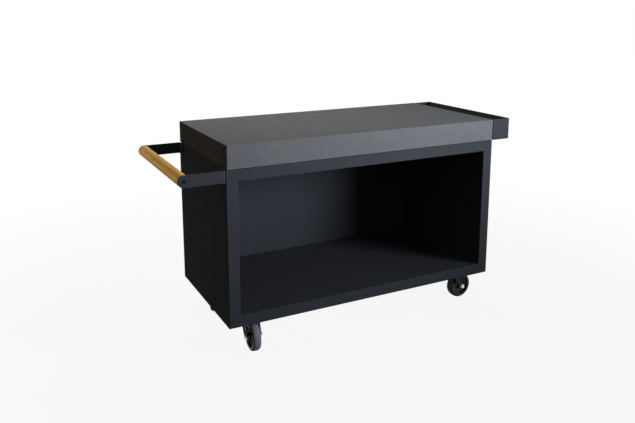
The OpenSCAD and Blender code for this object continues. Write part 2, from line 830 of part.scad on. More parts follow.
// Axle: hexagon bolt, two washers and a nut
module axle_bolt(i) color(zinc) at_caster(i) through_fork(axle_point) {
    outer = leg_out + axle_washer_t;
    end = outer + axle_nut_h + axle_end;
    translate([0, 0, outer]) hexagon(axle_nut_af, axle_head_h);
    translate([0, 0, -end]) cylinder(r = axle_r, h = end + outer);
    for (z = [leg_out, -outer]) translate([0, 0, z]) difference() {
        cylinder(r = axle_washer_r, h = axle_washer_t);
        translate([0, 0, -cut]) cylinder(r = axle_r + fit, h = axle_washer_t + 2 * cut);
    }
    translate([0, 0, -outer - axle_nut_h]) nut(axle_nut_af, axle_nut_h, axle_r + fit);
}

// Tube between the fork legs that the hub turns on
module axle_sleeve(i) color(zinc) at_caster(i) through_fork(axle_point) difference() {
    cylinder(r = sleeve_r, h = 2 * leg_in, center = true);
    cylinder(r = axle_r + fit, h = 2 * (leg_in + cut), center = true);
}

// Half section of the wheel core: hub, cone, web and flanged rim
rim_r = wheel_r - tyre_t;
rim_inset = 1;
rim_half = tyre_w / 2 - rim_inset;
rim_flange_t = 2;
rim_flange_h = 2.5;
rim_wall = 4;
rim_draft = 2;
rim_foot = 3;
web_half = 4;
hub_wall = 9;
hub_r = sleeve_r + hub_wall;
hub_ease = 2;
hub_draft = 1;
hub_foot = 8;
rim_foot_r = rim_r - rim_wall - rim_draft;

wheel_half = [
    [sleeve_r + fit, hub_l / 2], [hub_r - hub_ease, hub_l / 2], [hub_r, hub_l / 2 - hub_ease],
    [hub_r + hub_draft, web_half + hub_foot], [hub_r + hub_foot, web_half],
    [rim_foot_r - rim_foot, web_half], [rim_foot_r, web_half + rim_foot],
    [rim_r - rim_wall, rim_half], [rim_r + rim_flange_h, rim_half],
    [rim_r + rim_flange_h, rim_half - rim_flange_t], [rim_r, rim_half - rim_flange_t]
];

// The same points on the other side of the wheel's middle plane, in reverse order
function flipped(points) = [
    for (k = [len(points) - 1 : -1 : 0]) [points[k].x, -points[k].y]
];

module wheel(i) color(black_plastic) at_caster(i) through_fork(axle_point)
    rotate_extrude() polygon(concat(wheel_half, flipped(wheel_half)));

// Solid rubber tyre with a crowned tread and round shoulders, seated between the rim flanges
module tyre(i) color(black_rubber) at_caster(i) through_fork(axle_point) {
    rotate_extrude() difference() {
        intersection() {
            translate([rim_r - 2 * shoulder_r, -tyre_w / 2])
                rounded_square(tyre_t + 2 * shoulder_r, tyre_w, shoulder_r);
            translate([wheel_r - tread_crown_r, 0]) circle(tread_crown_r, $fn = 180);
            translate([rim_r, -tyre_w / 2]) square([tyre_t, tyre_w]);
        }
        for (s = [-1, 1]) translate([rim_r, s * (tyre_w / 2 + rim_half - rim_flange_t) / 2])
            square([2 * rim_flange_h, tyre_w / 2 - rim_half + rim_flange_t], center = true);
    }
}

// Brake pedal, drawn level on its pin and then turned to its released slope. The tread plate
// reaches back, and the shoe points at the tread when the pedal is down.
module brake_pedal(i) color(black_steel) at_caster(i) through_fork(pedal_pivot) {
    half_w = leg_in - gap;
    tread_half_w = half_w - pedal_edge;
    ribs = 5;
    rib_pitch = (pedal_l - pedal_hub_r) / (ribs + 1);
    difference() {
        union() {
            cylinder(r = pedal_hub_r, h = 2 * half_w, center = true);
            rotate([0, 0, 180 + pedal_slope]) {
                translate([0, 0, -tread_half_w]) linear_extrude(2 * tread_half_w)
                    pedal_tread_section();
                for (k = [1 : ribs]) translate([pedal_hub_r + k * rib_pitch, pedal_t / 2, 0])
                    cube([pedal_rib, pedal_rib, 2 * (half_w - pedal_rib_edge)], center = true);
            }
            rotate([0, 0, -shoe_angle + pedal_travel])
                translate([0, 0, -shoe_half_w]) linear_extrude(2 * shoe_half_w) shoe_section();
        }
        cylinder(r = pedal_pin_r + fit, h = 2 * (half_w + cut), center = true);
    }
}

module pedal_tread_section() {
    translate([0, -pedal_t / 2]) square([pedal_l - pedal_t / 2, pedal_t]);
    translate([pedal_l - pedal_t / 2, 0]) circle(d = pedal_t);
}

// Shoe: a tapered lobe whose end is an arc about the pin
module shoe_section() {
    root = pedal_hub_r - shoe_inset;
    intersection() {
        polygon([[0, -root], [0, root], [shoe_r + cut, root / 2], [shoe_r + cut, -root / 2]]);
        circle(shoe_r);
    }
}

module brake_pin(i) color(zinc) at_caster(i) through_fork(pedal_pivot) {
    cylinder(r = pedal_pin_r, h = 2 * leg_out, center = true);
    for (s = [0, 1]) mirror([0, 0, s]) translate([0, 0, leg_out])
        dome(pedal_pin_r + pin_head_rim, pin_head_h);
}

left_side();
right_side();
base();
top_deck();
back_panel();
back_panel_rivets();
left_caster_channel();
right_caster_channel();
worktop_panel();
worktop_front_apron();
worktop_rear_apron();
worktop_left_apron();
worktop_right_apron();
worktop_long_rails();
worktop_cross_rails();
worktop_pads();
planter_tray();
planter_tray_screws();
handle_front_arm();
handle_rear_arm();
handle_bar();
handle_bar_inserts();
handle_bar_screws();
handle_foot_screws();
rivet_nuts();
caster_bolts();
caster_weld_nuts();
swivel_kingpins();
swivel_balls();
caster_plate(FRONT_LEFT);  // front_left_caster_plate
fork(FRONT_LEFT, false);  // front_left_fork
axle_bolt(FRONT_LEFT);  // front_left_axle_bolt
axle_sleeve(FRONT_LEFT);  // front_left_axle_sleeve
wheel(FRONT_LEFT);  // front_left_wheel
tyre(FRONT_LEFT);  // front_left_tyre
caster_plate(FRONT_RIGHT);  // front_right_caster_plate
fork(FRONT_RIGHT, false);  // front_right_fork
axle_bolt(FRONT_RIGHT);  // front_right_axle_bolt
axle_sleeve(FRONT_RIGHT);  // front_right_axle_sleeve
wheel(FRONT_RIGHT);  // front_right_wheel
tyre(FRONT_RIGHT);  // front_right_tyre
caster_plate(REAR_LEFT);  // rear_left_caster_plate
fork(REAR_LEFT, true);  // rear_left_fork
axle_bolt(REAR_LEFT);  // rear_left_axle_bolt
axle_sleeve(REAR_LEFT);  // rear_left_axle_sleeve
wheel(REAR_LEFT);  // rear_left_wheel
tyre(REAR_LEFT);  // rear_left_tyre
brake_pedal(REAR_LEFT);  // rear_left_brake_pedal
brake_pin(REAR_LEFT);  // rear_left_brake_pin
caster_plate(REAR_RIGHT);  // rear_right_caster_plate
fork(REAR_RIGHT, true);  // rear_right_fork
axle_bolt(REAR_RIGHT);  // rear_right_axle_bolt
axle_sleeve(REAR_RIGHT);  // rear_right_axle_sleeve
wheel(REAR_RIGHT);  // rear_right_wheel
tyre(REAR_RIGHT);  // rear_right_tyre
brake_pedal(REAR_RIGHT);  // rear_right_brake_pedal
brake_pin(REAR_RIGHT);  // rear_right_brake_pin
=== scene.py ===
"""Outdoor prep table on casters: finishes, turned and hexagonal details, and a plain studio."""
import json
import math

import bpy
from bpy.props import FloatProperty, FloatVectorProperty, IntProperty, PointerProperty
from mathutils import Matrix, Vector


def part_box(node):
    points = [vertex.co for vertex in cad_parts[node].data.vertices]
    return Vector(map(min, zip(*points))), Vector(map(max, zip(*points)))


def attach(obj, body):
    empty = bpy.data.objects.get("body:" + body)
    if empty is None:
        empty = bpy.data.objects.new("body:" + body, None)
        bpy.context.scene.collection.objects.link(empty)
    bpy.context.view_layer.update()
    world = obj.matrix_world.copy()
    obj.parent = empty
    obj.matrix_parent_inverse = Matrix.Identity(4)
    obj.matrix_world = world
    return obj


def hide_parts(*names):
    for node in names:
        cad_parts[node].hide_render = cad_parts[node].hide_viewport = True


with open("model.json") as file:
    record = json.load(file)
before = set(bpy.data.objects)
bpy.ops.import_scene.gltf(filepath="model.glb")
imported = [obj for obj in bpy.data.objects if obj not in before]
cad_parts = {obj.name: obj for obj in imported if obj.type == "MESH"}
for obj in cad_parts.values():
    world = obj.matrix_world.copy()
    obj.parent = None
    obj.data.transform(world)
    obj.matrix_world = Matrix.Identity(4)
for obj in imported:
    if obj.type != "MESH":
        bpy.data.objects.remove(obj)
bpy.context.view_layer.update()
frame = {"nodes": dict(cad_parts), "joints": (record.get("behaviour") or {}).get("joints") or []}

bl_info = {
    "name": "Prep Table",
    "version": (1, 0, 0),
    "blender": (4, 5, 0),
    "location": "View3D > Sidebar > Prep Table",
    "description": "Dresses the frame of a rolling outdoor prep table and lights it",
    "category": "Object",
}

MM = 0.001
CORNERS = ("front_left", "front_right", "rear_left", "rear_right")
BRAKED = ("rear_left", "rear_right")
JOINTS = {joint["name"]: joint for joint in frame["joints"]}

POWDER_COATED = (
    "left_side", "right_side", "base", "top_deck", "back_panel", "left_caster_channel",
    "right_caster_channel", "worktop_long_rails", "worktop_cross_rails", "planter_tray",
    "handle_front_arm", "handle_rear_arm", "back_panel_rivets",
)
CERAMIC = (
    "worktop_panel", "worktop_front_apron", "worktop_rear_apron", "worktop_left_apron",
    "worktop_right_apron",
)

AXIS_R = 0.2 * MM                  # least radius of a turned body without a bore
SMOOTH_BELOW = math.radians(32)    # faces of a new piece that meet at less look smooth
CHAMFER = math.radians(30)         # turned chamfers on the hexagons
WHITE = (1.0, 1.0, 1.0)
SENSOR_W = 36.0                    # millimetres


# Sizes and colours

def length(name, description, default):
    """Property for a size in metres."""
    return FloatProperty(name=name, description=description, default=default, min=0.0,
                         subtype="DISTANCE", unit="LENGTH", precision=5)


def facets(name, description, default):
    """Property for the number of facets once round."""
    return IntProperty(name=name, description=description, default=default, min=24, max=256)


def position(name, description, default):
    """Property for a point, in metres."""
    return FloatVectorProperty(name=name, description=description, default=default, size=3,
                               subtype="XYZ", unit="LENGTH")


def angle(name, description, default):
    """Property for an angle, whose default is given in degrees."""
    return FloatProperty(name=name, description=description, default=math.radians(default),
                         subtype="ANGLE")


def power(name, description, default):
    """Property for the power of a lamp, in watts."""
    return FloatProperty(name=name, description=description, default=default, min=0.0,
                         unit="POWER")


def colour(name, description, default):
    """Property for a colour, in linear light."""
    return FloatVectorProperty(name=name, description=description, default=default, size=3,
                               min=0.0, max=1.0, subtype="COLOR")


class PREPTABLE_PG_sizes(bpy.types.PropertyGroup):
    """Sizes of the details that are turned or cut here"""

    turned_steps: facets("Turning steps", "Facets round the bar, the wheels and the axles", 96)
    bar_ease: length("Bar rounding", "Rounding of the ends of the wooden bar", 2.5 * MM)
    insert_room: length("Insert room", "Room round the inserts in the bar's bore", 0.05 * MM)
    edge: length("Edge rounding", "Rounding of the edges of the brake pedals", 0.5 * MM)
    edge_weld: length("Edge weld", "Points of the pedals that lie closer are joined", 0.01 * MM)

    hub_r: length("Hub radius", "Radius of the wheels' hubs", 16 * MM)
    hub_ease: length("Hub edge", "Chamfer of the hubs' ends", 2 * MM)
    hub_draft: length("Hub draft", "How much wider the hubs are at their foot", 1 * MM)
    hub_foot: length("Hub foot", "Reach and height of the slope from hub to web", 8 * MM)
    web_t: length("Web thickness", "Thickness of the web of the wheels", 8 * MM)
    rim_foot: length("Rim foot", "From the seat of the tyre inwards to the web", 9 * MM)
    rim_rise: length("Rim rise", "Reach and height of the slope from web to rim", 3 * MM)
    rim_t: length("Rim thickness", "Thickness of the rims at their sides", 4 * MM)
    rim_inset: length("Rim inset", "How far the rims lie inside the tyres' sides", 1 * MM)
    lip_t: length("Rim lip", "Thickness of the lips of the rims", 2 * MM)
    lip_h: length("Lip height", "Height of the lips over the seat of the tyre", 2.5 * MM)
    core_ease: length("Core rounding", "Rounding of the corners of the wheel cores", 2.5 * MM)

    crown_r: length("Crown radius", "Radius of the crown across the treads", 60 * MM)
    shoulder_r: length("Shoulder radius", "Radius of the shoulders of the tyres", 9 * MM)
    wall_inset: length("Wall inset", "Step from the tyre's side down to the lip", 0.5 * MM)
    # The lighter tread colour goes on the faces within this depth of the tread, a painted
    # highlight.
    tread_highlight_depth: length("Tread depth", "Depth of the rolled rubber of the treads", 2.6 * MM)
    parting_h: length("Parting line", "Height of the moulding line round the tread", 0.25 * MM)
    parting_foot: length("Parting foot", "Half the line's width where it rises", 0.6 * MM)
    parting_top: length("Parting top", "Half the line's width at its top", 0.2 * MM)

    axle_d: length("Axle diameter", "Diameter of the axle bolts", 10 * MM)
    axle_flats: length("Axle flats", "Across the flats of the axle bolts and nuts", 17 * MM)
    axle_seat: length("Axle seat", "From the wheel's middle to the washers", 30 * MM)
    washer_t: length("Washer thickness", "Thickness of the axle washers", 2 * MM)
    washer_r: length("Washer radius", "Radius of the axle washers", 10 * MM)
    washer_ease: length("Washer rounding", "Rounding of the washers' edges", 0.4 * MM)
    head_h: length("Head height", "Height of the axle bolt's head", 6.4 * MM)
    head_cover: length("Head cover", "From the shank's end to the top of the head", 0.3 * MM)
    nut_h: length("Nut height", "Height of the axle nut", 8 * MM)
    thread_pitch: length("Thread pitch", "Distance between two turns of a thread", 1.5 * MM)
    thread_run: length("Thread run", "How far the thread goes on inside the nut", 2 * MM)
    point_w: length("Point width", "Chamfer of the axle bolt's point across", 0.8 * MM)
    point_h: length("Point height", "Chamfer of the axle bolt's point along", 0.3 * MM)

    bolt_d: length("Caster bolt diameter", "Diameter of the bolts through the plates", 8 * MM)
    bolt_flats: length("Caster bolt flats", "Across the flats of the caster bolts", 13 * MM)
    bolt_head_h: length("Caster bolt head", "Height of the caster bolts' heads", 5.3 * MM)
    bolt_steps: facets("Caster bolt steps", "Facets round the caster bolts", 48)


class PREPTABLE_PG_finishes(bpy.types.PropertyGroup):
    """Colours of the finishes"""

    coat: colour("Powder coat", "Black powder coat of the sheet steel", (0.048, 0.050, 0.055))
    ceramic_cool: colour("Ceramic, cool", "Cooler grey of the ceramic", (0.134, 0.138, 0.146))
    ceramic_warm: colour("Ceramic, warm", "Warmer grey of the ceramic", (0.147, 0.143, 0.138))
    wood_light: colour("Wood, light", "Light wood between the growth lines", (0.80, 0.44, 0.09))
    wood_dark: colour("Wood, dark", "Dark wood of the growth lines", (0.54, 0.26, 0.035))
    caster: colour("Caster lacquer", "Black lacquer of forks and plates", (0.012, 0.012, 0.014))
    zinc: colour("Zinc", "Bright zinc of bolts and nuts", (0.62, 0.63, 0.65))
    screw: colour("Black screws", "Black oxide of the small screws", (0.010, 0.010, 0.012))
    brass: colour("Brass", "Threaded inserts in the bar", (0.60, 0.38, 0.12))
    core: colour("Wheel core", "Black plastic of the wheel cores", (0.006, 0.006, 0.007))
    tyre: colour("Tyre", "Black rubber of the tyres' walls", (0.010, 0.010, 0.011))
    # The tread colour is a lighter grey copy of the black tyre rubber, a painted highlight on the
    # treads.
    tread: colour("Tread", "Rolled rubber of the treads", (0.225, 0.23, 0.24))
    pad: colour("Pads", "Rubber pads under the worktop", (0.02, 0.02, 0.02))


class PREPTABLE_PG_studio(bpy.types.PropertyGroup):
    """Camera, lamps, floor and background"""

    camera_place: position("Camera", "Place of the camera", (-1.5022, -2.7966, 1.4554))
    camera_turn: angle("Camera turn", "Turn of the view towards +X", 27.3115)
    camera_tilt: angle("Camera tilt", "Downward tilt of the view", 10.7941)
    lens: FloatProperty(name="Lens", description="Focal length on a 36 mm sensor",
                        default=38.7178, min=10.0, unit="CAMERA")
    shift: FloatProperty(name="Shift", description="Vertical shift of the lens", default=-0.12)

    key_place: position("Key lamp", "Place of the lamp at the front right", (2.2, -2.4, 1.4))
    key_aim: position("Key aim", "What the key lamp points at", (0.0, -0.3, 1.45))
    key_size: length("Key size", "Side of the key lamp", 1.0)
    key_power: power("Key power", "Power of the key lamp", 28.0)
    key_spread: angle("Key spread", "How wide the key lamp shines", 64)
    key_colour: colour("Key colour", "Cool white of the key lamp", (0.82, 0.89, 1.0))

    top_place: position("Top lamp", "Place of the lamp overhead", (-0.15, 0.45, 2.3))
    top_aim: position("Top aim", "What the top lamp points at", (-0.05, 0.1, 0.9))
    top_size: length("Top size", "Side of the top lamp", 1.4)
    top_power: power("Top power", "Power of the top lamp", 15.5)

    low_place: position("Low lamp", "Place of the strip under the bar", (-0.955, -0.02, 0.705))
    low_aim: position("Low aim", "What the low lamp points at", (-0.797, -0.02, 0.865))
    low_size: length("Low size", "Length of the low lamp", 0.68)
    low_width: length("Low width", "Width of the low lamp", 0.04)
    low_power: power("Low power", "Power of the low lamp", 0.19)
    low_spread: angle("Low spread", "How wide the low lamp shines", 22)

    rear_place: position("Rear lamp", "Place of the lamp behind", (0.6, 3.4, 1.2))
    rear_aim: position("Rear aim", "What the rear lamp points at", (0.1, 0.3, 0.5))
    rear_size: length("Rear size", "Side of the rear lamp", 1.6)
    rear_power: power("Rear power", "Power of the rear lamp", 50.0)

    fill: FloatProperty(name="Fill", description="Light from all round", default=0.11, min=0.0)
    floor: colour("Floor", "Pale floor as the camera sees it", (0.86, 0.86, 0.86))
    floor_bounce: colour("Floor bounce", "Floor as the object sees it", (0.06, 0.06, 0.06))
    floor_glow: FloatProperty(name="Floor glow", description="Share of plain white in the floor",
                              default=0.90, min=0.0, max=1.0)
    floor_near: length("Floor near", "Where the floor starts to turn into white", 1.0)
    floor_far: length("Floor far", "Where the floor is all white", 3.0)
    floor_r: length("Floor radius", "Radius of the floor", 40.0)
    floor_steps: facets("Floor steps", "Corners of the floor's edge", 64)


# Shader arithmetic

class Socket:
    """A value in a shader. An expression on it adds one Math node for each step."""

    def __init__(self, shader, output):
        self.shader = shader
        self.output = output

    def _step(self, operation, first, second):
        return self.shader.add("ShaderNodeMath", {"operation": operation}, {0: first, 1: second})

    def __add__(self, other):
        return self._step("ADD", self, other)

    def __radd__(self, other):
        return self._step("ADD", other, self)

    def __sub__(self, other):
        return self._step("SUBTRACT", self, other)

    def __rsub__(self, other):
        return self._step("SUBTRACT", other, self)

    def __mul__(self, other):
        return self._step("MULTIPLY", self, other)

    def __rmul__(self, other):
        return self._step("MULTIPLY", other, self)

    def clamped(self):
        """The value kept between 0 and 1."""
        return self.shader.add("ShaderNodeClamp", {}, {"Value": self})


class Shader:
    """The node tree of a new material or world, with a single method that adds nodes."""

    def __init__(self, owner):
        self.owner = owner
        owner.use_nodes = True
        self.tree = owner.node_tree
        self.tree.nodes.clear()
        self._place = None

    @property
    def place(self):
        """The object's own coordinates, in metres."""
        if self._place is None:
            self._place = self.add("ShaderNodeTexCoord", output="Object")
        return self._place

    def add(self, kind, settings=None, inputs=None, output=0):
        """Adds a node, sets it up, feeds its sockets and returns one of its outputs."""
        node = self.tree.nodes.new(kind)
        for name, value in (settings or {}).items():
            setattr(node, name, value)
        for name, value in (inputs or {}).items():
            self.feed(node.inputs[name], value)
        return Socket(self, node.outputs[output]) if len(node.outputs) else None

    def feed(self, target, value):
        """Links a socket of a node to a value, or sets it to a number, vector or colour."""
        if isinstance(value, Socket):
            self.tree.links.new(value.output, target)
        elif target.type == "RGBA":
            target.default_value = (*value[:3], 1.0)
        else:
            target.default_value = value

    def mix(self, factor, first, second):
        """Colour between first and second. The node's sockets share names, so they go by number."""
        return self.add("ShaderNodeMix", {"data_type": "RGBA"},
                        {0: factor, 6: first, 7: second}, output=2)

    def noise(self, scale, detail, roughness=0.55, where=None, distortion=0.0):
        """Smooth noise round 0.5, with scale waves to the metre."""
        return self.add("ShaderNodeTexNoise", {}, {
            "Vector": where or self.place, "Scale": scale, "Detail": detail,
            "Roughness": roughness, "Distortion": distortion}, "Fac")

    def stretched(self, scale):
        """Coordinates multiplied by scale along each axis."""
        return self.add("ShaderNodeVectorMath", {"operation": "MULTIPLY"},
                        {0: self.place, 1: scale}, "Vector")

    def band(self, value, low, high):
        """0 below low, 1 above high, smooth between."""
        return self.add("ShaderNodeMapRange", {"interpolation_type": "SMOOTHSTEP"}, {
            "Value": value, "From Min": low, "From Max": high}, "Result")

    def bump(self, height, depth, strength):
        """A normal for a relief whose height of 1 is depth metres."""
        return self.add("ShaderNodeBump", {}, {
            "Height": height, "Distance": depth, "Strength": strength}, "Normal")

    def seen(self):
        """1 for what the camera sees, also in reflections and through glass, else 0."""
        direct, glossy, through = (
            self.add("ShaderNodeLightPath", output=name)
            for name in ("Is Camera Ray", "Is Glossy Ray", "Is Transmission Ray"))
        return (direct + glossy + through).clamped()

    def finish(self, **sockets):
        """Ends the tree in one Principled BSDF. Names are written with _ for a space."""
        inputs = {name.replace("_", " "): value for name, value in sockets.items()}
        self.surface(self.add("ShaderNodeBsdfPrincipled", {}, inputs))
        return self.owner

    def surface(self, shader):
        """Ends the tree of a material in a shader."""
        self.add("ShaderNodeOutputMaterial", {"target": "ALL"}, {"Surface": shader})


def shade(value, factor):
    """A colour made darker or lighter."""
    return tuple(min(1.0, channel * factor) for channel in value)


# Materials

def powder_coat(name, base):
    """Satin powder coat: fine orange peel, faint clouds and a sprinkle of paler grains."""
    s = Shader(bpy.data.materials.new(name))
    clouds = s.noise(3.0, detail=4.0)
    grain = s.noise(1400.0, detail=1.0)
    peel = s.noise(420.0, detail=2.0)
    tone = s.mix(clouds, shade(base, 0.86), shade(base, 1.14))
    tint = s.mix(0.5 * s.band(grain, 0.35, 0.75), tone, shade(base, 1.35))
    return s.finish(
        Base_Color=tint, Roughness=0.52 + 0.12 * clouds + 0.08 * peel,
        Normal=s.bump(peel + 0.35 * grain, 0.12 * MM, strength=0.7), Specular_IOR_Level=0.004)


def dark_ceramic(name, cool, warm):
    """Sintered ceramic: soft clouds of warm and cool grey, fine mottling and flecks."""
    s = Shader(bpy.data.materials.new(name))
    drift = s.noise(2.1, detail=5.0, roughness=0.6, distortion=0.8)
    mottle = s.noise(26.0, detail=5.0, roughness=0.65)
    grain = s.noise(520.0, detail=2.0)
    flecks = s.band(s.noise(900.0, detail=1.0), 0.66, 0.74)
    hue = s.mix(s.band(drift, 0.35, 0.65), cool, warm)
    cloud = s.mix(s.band(mottle, 0.30, 0.72), shade(cool, 0.84), shade(warm, 1.14))
    toned = s.mix(0.42, hue, cloud)
    grained = s.mix(0.22 * grain, toned, shade(warm, 1.5))
    return s.finish(
        Base_Color=s.mix(0.55 * flecks, grained, shade(cool, 0.45)),
        Roughness=0.52 + 0.14 * mottle + 0.05 * grain,
        Normal=s.bump(grain + 0.5 * mottle, 0.10 * MM, strength=0.6), Specular_IOR_Level=0.0)


def oiled_wood(name, light, dark):
    """Turned hardwood: growth lines that run along the bar, short pores and a soft sheen."""
    s = Shader(bpy.data.materials.new(name))
    wander = s.noise(1.0, detail=3.0, where=s.stretched((9.0, 2.4, 9.0)))
    lines = s.noise(1.0, detail=4.0, roughness=0.6, where=s.stretched((46.0, 1.1, 46.0)),
                    distortion=0.35)
    fibres = s.noise(1.0, detail=3.0, where=s.stretched((360.0, 7.0, 360.0)))
    pores = s.band(s.noise(1.0, detail=1.0, where=s.stretched((900.0, 26.0, 900.0))), 0.60, 0.72)
    grown = s.mix(s.band(lines, 0.36, 0.66), light, dark)
    warmed = s.mix(0.45 * s.band(wander, 0.3, 0.7), grown, shade(light, 1.12))
    fibred = s.mix(0.30 * fibres, warmed, shade(dark, 0.85))
    return s.finish(
        Base_Color=s.mix(0.45 * pores, fibred, shade(dark, 0.45)),
        Roughness=0.44 + 0.16 * fibres + 0.10 * pores,
        Normal=s.bump(fibres - 0.8 * pores, 0.18 * MM, strength=0.7), Specular_IOR_Level=0.05)


def lacquer(name, base):
    """Thin black lacquer on pressed steel, a little uneven and dusty in places."""
    s = Shader(bpy.data.materials.new(name))
    flow = s.noise(160.0, detail=2.0)
    dust = s.band(s.noise(38.0, detail=4.0, roughness=0.7), 0.56, 0.80)
    return s.finish(
        Base_Color=s.mix(0.30 * dust, base, shade(base, 4.0)),
        Roughness=0.30 + 0.10 * flow + 0.18 * dust,
        Normal=s.bump(flow, 0.10 * MM, strength=0.5), Specular_IOR_Level=0.15)


def zinc_plate(name, base):
    """Bright zinc: patchy crystals and a fine grain."""
    s = Shader(bpy.data.materials.new(name))
    patch = s.noise(240.0, detail=3.0)
    fine = s.noise(1800.0, detail=1.0)
    return s.finish(
        Base_Color=s.mix(patch, shade(base, 0.82), shade(base, 1.12)), Metallic=1.0,
        Roughness=0.24 + 0.14 * patch + 0.05 * fine,
        Normal=s.bump(patch + 0.4 * fine, 0.05 * MM, strength=0.5))


def black_oxide(name, base):
    """Blackened screw steel with an oily sheen."""
    s = Shader(bpy.data.materials.new(name))
    patch = s.noise(600.0, detail=2.0)
    return s.finish(
        Base_Color=s.mix(patch, base, shade(base, 1.8)), Roughness=0.30 + 0.15 * patch,
        Normal=s.bump(patch, 0.04 * MM, strength=0.5), Specular_IOR_Level=0.03)


def machined_brass(name, base):
    """Brass with the faint marks of the tool that cut it."""
    s = Shader(bpy.data.materials.new(name))
    marks = s.noise(900.0, detail=2.0)
    return s.finish(
        Base_Color=s.mix(marks, shade(base, 0.85), shade(base, 1.1)), Metallic=1.0,
        Roughness=0.28 + 0.12 * marks, Normal=s.bump(marks, 0.04 * MM, strength=0.5))


def moulded_plastic(name, base):
    """Moulded black plastic with a fine texture and faint flow marks."""
    s = Shader(bpy.data.materials.new(name))
    flow = s.noise(60.0, detail=3.0)
    texture = s.noise(1500.0, detail=1.0)
    return s.finish(
        Base_Color=s.mix(0.5 * flow, base, shade(base, 1.7)),
        Roughness=0.16 + 0.06 * flow + 0.03 * texture,
        Normal=s.bump(texture, 0.03 * MM, strength=0.4), Specular_IOR_Level=0.25)


def rubber(name, base):
    """Matt rubber with a fine grain and pale scuffs."""
    s = Shader(bpy.data.materials.new(name))
    scuff = s.band(s.noise(70.0, detail=5.0, roughness=0.7), 0.52, 0.78)
    grain = s.noise(1300.0, detail=2.0)
    grained = s.mix(0.4 * grain, base, shade(base, 1.5))
    return s.finish(
        Base_Color=s.mix(0.30 * scuff, grained, shade(base, 2.2)),
        Roughness=0.50 + 0.12 * grain + 0.14 * scuff,
        Normal=s.bump(grain + 0.4 * scuff, 0.10 * MM, strength=0.6), Specular_IOR_Level=0.08)


def coat_nodes(nodes, material):
    """Gives nodes of the frame one material all over."""
    for node in nodes:
        mesh = frame["nodes"][node].data
        mesh.materials.clear()
        mesh.materials.append(material)


# Mesh making

def new_piece(name, vertices, faces, material):
    """An object from points and faces, smooth except where they meet at a sharp angle."""
    mesh = bpy.data.meshes.new(name)
    mesh.from_pydata(vertices, [], faces)
    mesh.validate()
    mesh.shade_smooth()
    mesh.set_sharp_from_angle(angle=SMOOTH_BELOW)
    mesh.materials.append(material)
    piece = bpy.data.objects.new(name, mesh)
    bpy.context.scene.collection.objects.link(piece)
    return piece


class Lathe:
    """Collects closed bodies of revolution about Z, in rings that each have their own radii."""

    def __init__(self, steps):
        self.steps = steps
        self.vertices = []
        self.faces = []

    def turn(self, outline, squeeze=None):
        """Adds the body whose closed outline is (radius, height) points, anticlockwise as seen
        with the radius to the right. squeeze changes a point by its angle round Z."""
        first = len(self.vertices)
        count = len(outline)
        for k in range(self.steps):
            turned = 2 * math.pi * k / self.steps
            for radius, height in outline:
                if squeeze:
                    radius, height = squeeze(radius, height, turned)
                self.vertices.append((radius * math.cos(turned), radius * math.sin(turned), height))
        for k in range(self.steps):
            here = first + k * count
            there = first + (k + 1) % self.steps * count
            for i in range(count):
                j = (i + 1) % count
                self.faces.append((here + i, there + i, there + j, here + j))


def rounded(outline, radius, steps=4):
    """The closed outline with each corner cut by a smooth curve no longer than radius."""
    most = 0.45        # of a side, so that the curves at its two ends stay apart
    result = []
    count = len(outline)
    for i, corner in enumerate(outline):
        here = Vector(corner)
        before = Vector(outline[i - 1]) - here
        after = Vector(outline[(i + 1) % count]) - here
        start = here + before.normalized() * min(radius, before.length * most)
        end = here + after.normalized() * min(radius, after.length * most)
        for k in range(steps + 1):
            t = k / steps
            point = start * (1 - t) ** 2 + here * (2 * t * (1 - t)) + end * t ** 2
            result.append(tuple(point))
    return result


def mirrored(half):
    """A whole outline from the points of its upper half."""
    return half + [(radius, -height) for radius, height in reversed(half)]


def hexagon_reach(turned, flats):
    """Distance from the middle of a hexagon to its edge in a direction."""
    sector = math.pi / 3
    return flats / 2 / math.cos((turned % sector) - sector / 2)


def hexagonal(flats, low, high, chamfer_low=False, chamfer_high=False):
    """A squeeze for Lathe.turn: full radius becomes a hexagon with turned chamfers."""
    inner = 0.97 * flats / 2        # radius of the round face that a chamfer leaves

    def squeeze(radius, height, turned):
        if radius < inner:
            return radius, height
        reach = hexagon_reach(turned, flats)
        drop = (reach - inner) * math.tan(CHAMFER)
        if height == high and chamfer_high:
            return (inner, height) if radius < flats / 2 else (reach, height - drop)
        if height == low and chamfer_low:
            return (inner, height) if radius < flats / 2 else (reach, height + drop)
        return reach, height

    return squeeze


def hexagon_outline(flats, low, high, bore):
    """Outline for a hexagonal squeeze: a face ring and an edge ring at each end."""
    face, edge = 0.98 * flats / 2, flats        # inside and outside the flats
    return [(bore, low), (face, low), (edge, low), (edge, high), (face, high), (bore, high)]


def threaded(radius, low, high, pitch):
    """Points up a shank whose turns are cut to pitch."""
    root, crest_low, crest_high = 0.1, 0.45, 0.6        # heights within a turn
    depth = 0.55 * pitch
    turns = max(1, round((high - low) / pitch))
    step = (high - low) / turns
    points = []
    for k in range(turns):
        base = low + k * step
        points += [(radius - depth, base + root * step), (radius, base + crest_low * step),
                   (radius, base + crest_high * step)]
    return points


def axle(corner):
    """A point on the axle of a corner's wheel, and the axle's direction."""
    joint = JOINTS[f"{corner}_wheel_spin"]
    return joint["pos_m"], joint["axis"]


def to_axis(piece, point, axis):
    """Lays a piece made about Z on the line through point along axis."""
    turn = Vector((0, 0, 1)).rotation_difference(Vector(axis)).to_matrix().to_4x4()
    piece.data.transform(Matrix.Translation(Vector(point)) @ turn)


def spread_along(node, point, axis):
    """Lowest and highest place of a node along a line, and its least and most distance to it."""
    origin, direction = Vector(point), Vector(axis).normalized()
    along, away = [], []
    for vertex in frame["nodes"][node].data.vertices:
        offset = vertex.co - origin
        height = offset.dot(direction)
        along.append(height)
        away.append((offset - direction * height).length)
    return min(along), max(along), min(away), max(away)


def stand_in(piece, node, body):
    """The piece shows in place of one node of the frame, on the same body."""
    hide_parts(node)
    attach(piece, body)


